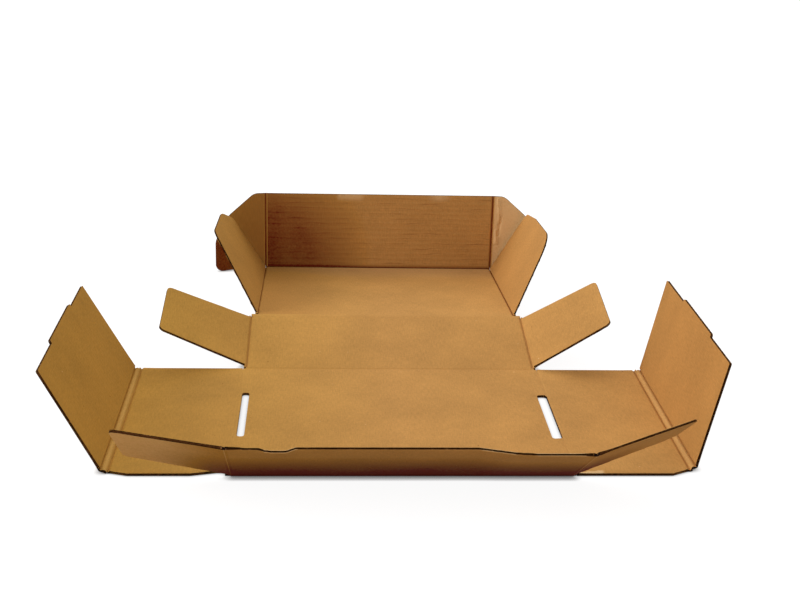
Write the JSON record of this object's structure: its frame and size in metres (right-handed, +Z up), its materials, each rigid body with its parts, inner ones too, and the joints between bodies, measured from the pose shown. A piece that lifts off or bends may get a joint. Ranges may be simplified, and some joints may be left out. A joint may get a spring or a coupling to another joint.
{
  "type": "corrugated mailer box",
  "caption": "Die-cut corrugated mailer box, opened out: flat base and side walls, roll-over panels with tabs, corner flaps, lid with side flaps, tuck flap and ears.",
  "frame": {"origin": "middle of the base panel's underside, on the table", "axes": "+X right, +Y back towards the lid, +Z up"},
  "size_m": [0.5885, 0.6338, 0.1056],
  "materials": {
    "kraft_board": "matt"
  },
  "bodies": {
    "base_panel": {"base_panel": "kraft_board"},
    "front_wall": {"front_wall": "kraft_board"},
    "back_wall": {"back_wall": "kraft_board"},
    "lid": {"lid": "kraft_board"},
    "tuck_flap": {"tuck_flap": "kraft_board"},
    "left_side_wall": {"left_side_wall": "kraft_board"},
    "left_spine": {"left_spine": "kraft_board"},
    "left_rollover": {"left_rollover": "kraft_board"},
    "left_front_flap": {"left_front_flap": "kraft_board"},
    "left_back_flap": {"left_back_flap": "kraft_board"},
    "left_lid_flap": {"left_lid_flap": "kraft_board"},
    "left_tuck_ear": {"left_tuck_ear": "kraft_board"},
    "right_side_wall": {"right_side_wall": "kraft_board"},
    "right_spine": {"right_spine": "kraft_board"},
    "right_rollover": {"right_rollover": "kraft_board"},
    "right_front_flap": {"right_front_flap": "kraft_board"},
    "right_back_flap": {"right_back_flap": "kraft_board"},
    "right_lid_flap": {"right_lid_flap": "kraft_board"},
    "right_tuck_ear": {"right_tuck_ear": "kraft_board"}
  },
  "joints": [
    {"name": "front_wall_fold", "type": "hinge", "parent": "base_panel", "child": "front_wall", "pos_m": [0, -0.1125, 0.00135], "axis": [-1, 0, 0], "range_deg": [-36.7, 50.5]},
    {"name": "back_wall_fold", "type": "hinge", "parent": "base_panel", "child": "back_wall", "pos_m": [0, 0.1125, 0.00135], "axis": [1, 0, 0], "range_deg": [0, 79.6]},
    {"name": "lid_fold", "type": "hinge", "parent": "back_wall", "child": "lid", "pos_m": [0, 0.21587, 0.02032], "axis": [-1, 0, 0], "range_deg": [-105.34, 0]},
    {"name": "tuck_flap_fold", "type": "hinge", "parent": "lid", "child": "tuck_flap", "pos_m": [0, 0.43366, 0.0015], "axis": [1, 0, 0], "range_deg": [-87.06, 3]},
    {"name": "left_side_wall_fold", "type": "hinge", "parent": "base_panel", "child": "left_side_wall", "pos_m": [-0.15, 0, 0.00135], "axis": [0, 1, 0], "range_deg": [0, 90]},
    {"name": "left_spine_fold", "type": "hinge", "parent": "left_side_wall", "child": "left_spine", "pos_m": [-0.252, 0, 0.00135], "axis": [0, 1, 0], "range_deg": [-20, 70]},
    {"name": "left_rollover_fold", "type": "hinge", "parent": "left_spine", "child": "left_rollover", "pos_m": [-0.25801, 0, 0.00354], "axis": [0, 1, 0], "range_deg": [-40.8, 49.2]},
    {"name": "left_front_flap_fold", "type": "hinge", "parent": "front_wall", "child": "left_front_flap", "pos_m": [-0.1469, -0.1125, 0.00135], "axis": [0, 0.7716, -0.6361], "range_deg": [-9, 81]},
    {"name": "left_back_flap_fold", "type": "hinge", "parent": "back_wall", "child": "left_back_flap", "pos_m": [-0.1469, 0.1125, 0.00135], "axis": [0, 0.9836, 0.1805], "range_deg": [-25, 65]},
    {"name": "left_lid_flap_fold", "type": "hinge", "parent": "lid", "child": "left_lid_flap", "pos_m": [-0.1406, 0.21587, 0.02032], "axis": [0, 0.9963, -0.0861], "range_deg": [-59, 31]},
    {"name": "left_tuck_ear_fold", "type": "hinge", "parent": "tuck_flap", "child": "left_tuck_ear", "pos_m": [-0.1406, 0.43366, 0.0015], "axis": [0, 0.0513, 0.9987], "range_deg": [-11, 7]},
    {"name": "right_side_wall_fold", "type": "hinge", "parent": "base_panel", "child": "right_side_wall", "pos_m": [0.15, 0, 0.00135], "axis": [0, -1, 0], "range_deg": [0, 90]},
    {"name": "right_spine_fold", "type": "hinge", "parent": "right_side_wall", "child": "right_spine", "pos_m": [0.252, 0, 0.00135], "axis": [0, -1, 0], "range_deg": [-23.5, 66.5]},
    {"name": "right_rollover_fold", "type": "hinge", "parent": "right_spine", "child": "right_rollover", "pos_m": [0.25787, 0, 0.0039], "axis": [0, -1, 0], "range_deg": [-55.5, 34.5]},
    {"name": "right_front_flap_fold", "type": "hinge", "parent": "front_wall", "child": "right_front_flap", "pos_m": [0.1469, -0.1125, 0.00135], "axis": [0, -0.8018, 0.5976], "range_deg": [-19.2, 70.8]},
    {"name": "right_back_flap_fold", "type": "hinge", "parent": "back_wall", "child": "right_back_flap", "pos_m": [0.1469, 0.1125, 0.00135], "axis": [0, -0.9836, -0.1805], "range_deg": [-34, 56]},
    {"name": "right_lid_flap_fold", "type": "hinge", "parent": "lid", "child": "right_lid_flap", "pos_m": [0.1406, 0.21587, 0.02032], "axis": [0, -0.9963, 0.0861], "range_deg": [-61.5, 28.5]},
    {"name": "right_tuck_ear_fold", "type": "hinge", "parent": "tuck_flap", "child": "right_tuck_ear", "pos_m": [0.1406, 0.43366, 0.0015], "axis": [0, -0.0513, -0.9987], "range_deg": [-9, 9]}
  ]
}
